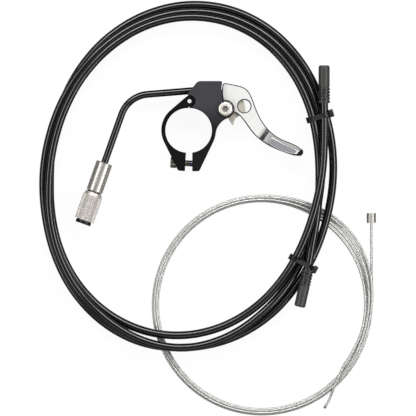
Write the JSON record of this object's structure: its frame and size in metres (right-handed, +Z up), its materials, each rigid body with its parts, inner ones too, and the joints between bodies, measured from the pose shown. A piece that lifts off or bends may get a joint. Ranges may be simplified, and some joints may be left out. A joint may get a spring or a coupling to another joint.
{
  "type": "dropper seatpost remote lever kit",
  "caption": "Handlebar lever remote on a hinged bar clamp, with a bent cable guide tube and barrel adjuster, a tied bundle of outer housing and a loose coil of inner cable.",
  "frame": {"origin": "centre of the handlebar bore of the clamp, on the flat surface that the kit lies on", "axes": "+Z up along the bore, away from the surface; the lever reaches towards +X, the guide tube leaves towards -X, and the clamp's hinge is on the +Y side"},
  "size_m": [0.169, 0.2077, 0.0158],
  "materials": {
    "body_anodised": "black anodised, fine satin",
    "strap_anodised": "black anodised, fine satin",
    "lever_polished": "polished, grey inlaid panel on the paddle",
    "bright_screws": "bright plated",
    "bolt_steel": "bright plated with a dab of blue thread lock",
    "pin_steel": "ground",
    "quadrant_steel": "stamped and tumbled",
    "spring_steel": "drawn wire",
    "bearing_plastic": "moulded",
    "tube_black": "gloss black",
    "liner_plastic": "extruded, natural",
    "adjuster_nickel": "bright nickel, fluted grip",
    "ring_rubber": "moulded",
    "stop_plastic": "moulded black",
    "housing_black": "extruded black jacket",
    "cap_plastic": "moulded dark grey",
    "tie_plastic": "moulded black",
    "cable_steel": "drawn and stranded",
    "head_steel": "die cast and plated",
    "tip_steel": "fused end"
  },
  "bodies": {
    "remote_body": {"clamp_body": "body_anodised", "strap_hinge_pin": "pin_steel", "pivot_screw": "bright_screws", "pivot_washers": "bearing_plastic", "return_spring": "spring_steel", "noodle_tube": "tube_black", "noodle_liner": "liner_plastic", "adjuster_sleeve": "adjuster_nickel", "housing_coil": "housing_black", "end_cap_upper": "cap_plastic", "end_cap_lower": "cap_plastic", "tie_upper": "tie_plastic", "tie_lower": "tie_plastic", "inner_cable_coil": "cable_steel", "cable_head": "head_steel", "cable_tip": "tip_steel"},
    "lever": {"lever_blade": "lever_polished", "pivot_bush": "bearing_plastic", "cable_quadrant": "quadrant_steel", "quadrant_dowels": "pin_steel", "pinch_screw": "bright_screws", "pinch_washer": "bright_screws"},
    "strap": {"clamp_strap": "strap_anodised"},
    "strap_bolt": {"clamp_bolt": "bolt_steel"},
    "adjuster_end": {"housing_stop": "stop_plastic"},
    "barrel": {"adjuster_barrel": "adjuster_nickel", "adjuster_o_ring": "ring_rubber"}
  },
  "joints": [
    {"name": "lever_hinge", "type": "hinge", "parent": "remote_body", "child": "lever", "pos_m": [0.01788, 0.01063, 0.006], "axis": [0, 0, 1], "range_deg": [-34, 0], "stiffness_Nm_per_rad": 0.05, "springref_deg": 34.38, "deforming": ["return_spring"]},
    {"name": "strap_hinge", "type": "hinge", "parent": "remote_body", "child": "strap", "pos_m": [0, 0.01455, 0.006], "axis": [0, 0, -1], "range_deg": [-3.5, 35]},
    {"name": "bolt_slide", "type": "slide", "parent": "strap", "child": "strap_bolt", "axis": [-0.9981, 0.061, 0], "range_m": [-0.00074, 0.00734]},
    {"name": "adjuster_travel", "type": "slide", "parent": "remote_body", "child": "adjuster_end", "axis": [-0.3338, -0.9426, 0], "range_m": [0, 0.0024]},
    {"name": "adjuster_turn", "type": "hinge", "parent": "adjuster_end", "child": "barrel", "pos_m": [-0.05331, -0.04668, 0.00645], "axis": [-0.3338, -0.9426, 0], "range_deg": [0, 1080]}
  ],
  "couplings": [
    {"joint": "bolt_slide", "follows": "strap_hinge", "m_per_rad": 0.012},
    {"joint": "adjuster_travel", "follows": "adjuster_turn", "m_per_rad": 0.00012732}
  ]
}
